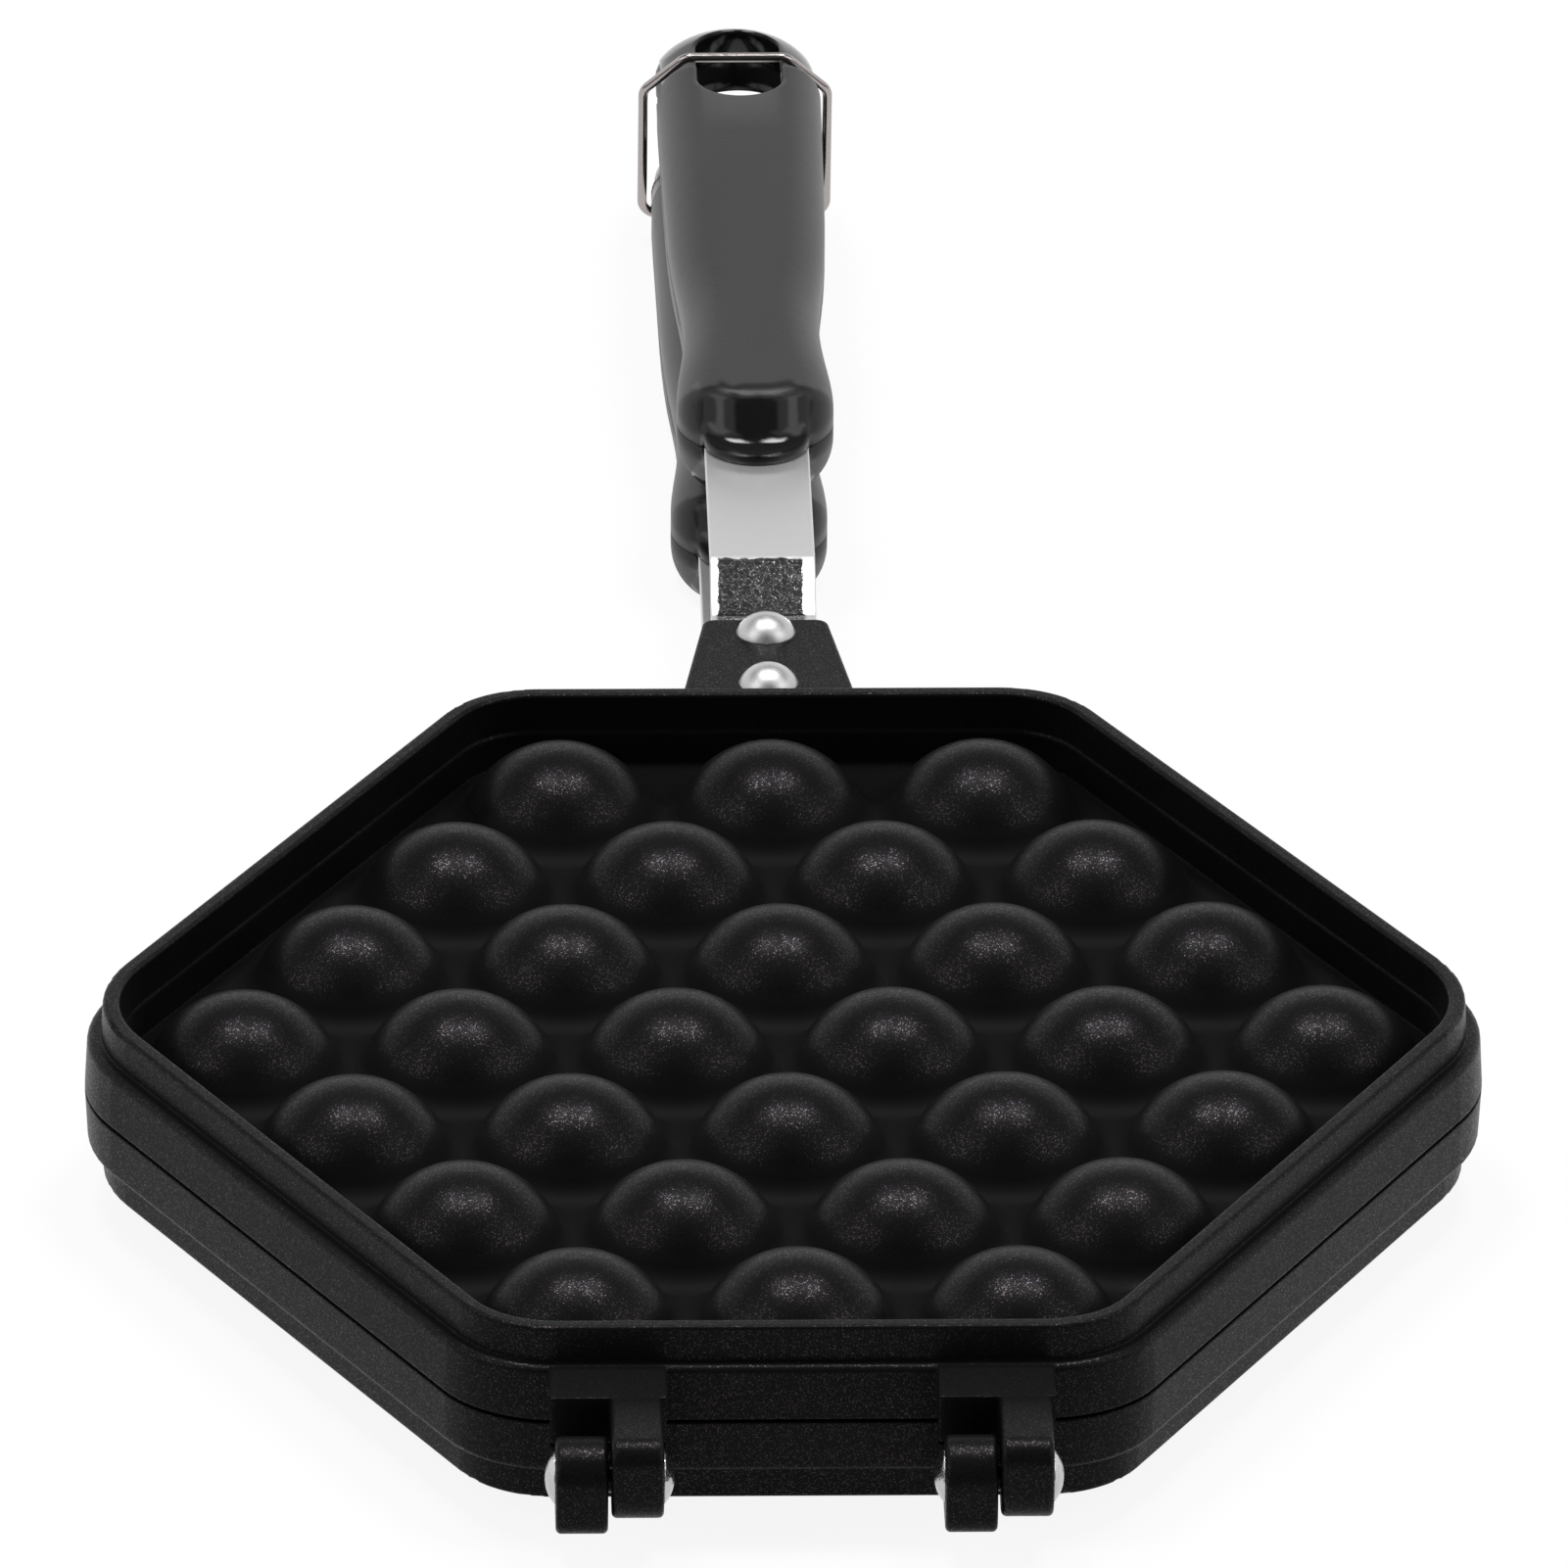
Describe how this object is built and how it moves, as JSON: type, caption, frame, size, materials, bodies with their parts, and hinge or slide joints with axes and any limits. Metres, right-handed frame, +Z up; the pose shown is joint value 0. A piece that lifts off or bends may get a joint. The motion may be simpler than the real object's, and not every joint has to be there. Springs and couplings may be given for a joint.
{
  "type": "egg waffle pan",
  "caption": "Hinged stovetop waffle pan with a honeycomb of round cups, twin handles and a wire latch at their ends.",
  "frame": {"origin": "bottom centre of the whole closed pan's bounding box, on the table under the lower handle", "axes": "+Y from the hinges to the handle ends, +Z up from the lower pan to the upper pan, +X to the right seen from the hinges"},
  "size_m": [0.2038, 0.4762, 0.036],
  "materials": {
    "coated_casting": "black non-stick coating, satin, with fine bright speckle",
    "pin_steel": "plain steel, peened ends",
    "bracket_steel": "satin stainless strip",
    "rivet_aluminium": "satin",
    "bakelite": "black moulded, satin sides with glossy end faces",
    "screw_steel": "plain",
    "latch_wire": "nickel-plated wire"
  },
  "bodies": {
    "lower_half": {"lower_pan": "coated_casting", "left_hinge_pin": "pin_steel", "right_hinge_pin": "pin_steel", "lower_bracket": "bracket_steel", "lower_front_rivet": "rivet_aluminium", "lower_rear_rivet": "rivet_aluminium", "lower_handle": "bakelite", "lower_handle_screw": "screw_steel"},
    "upper_half": {"upper_pan": "coated_casting", "upper_bracket": "bracket_steel", "upper_front_rivet": "rivet_aluminium", "upper_rear_rivet": "rivet_aluminium", "upper_handle": "bakelite", "upper_handle_screw": "screw_steel"},
    "latch": {"latch_bail": "latch_wire"}
  },
  "joints": [
    {"name": "pan_hinge", "type": "hinge", "parent": "lower_half", "child": "upper_half", "pos_m": [0, -0.2323, 0.018], "axis": [1, 0, 0], "range_deg": [0, 180]},
    {"name": "latch_swing", "type": "hinge", "parent": "lower_half", "child": "latch", "pos_m": [0, 0.21944, 0.0046], "axis": [-1, 0, 0], "range_deg": [0, 180]}
  ]
}
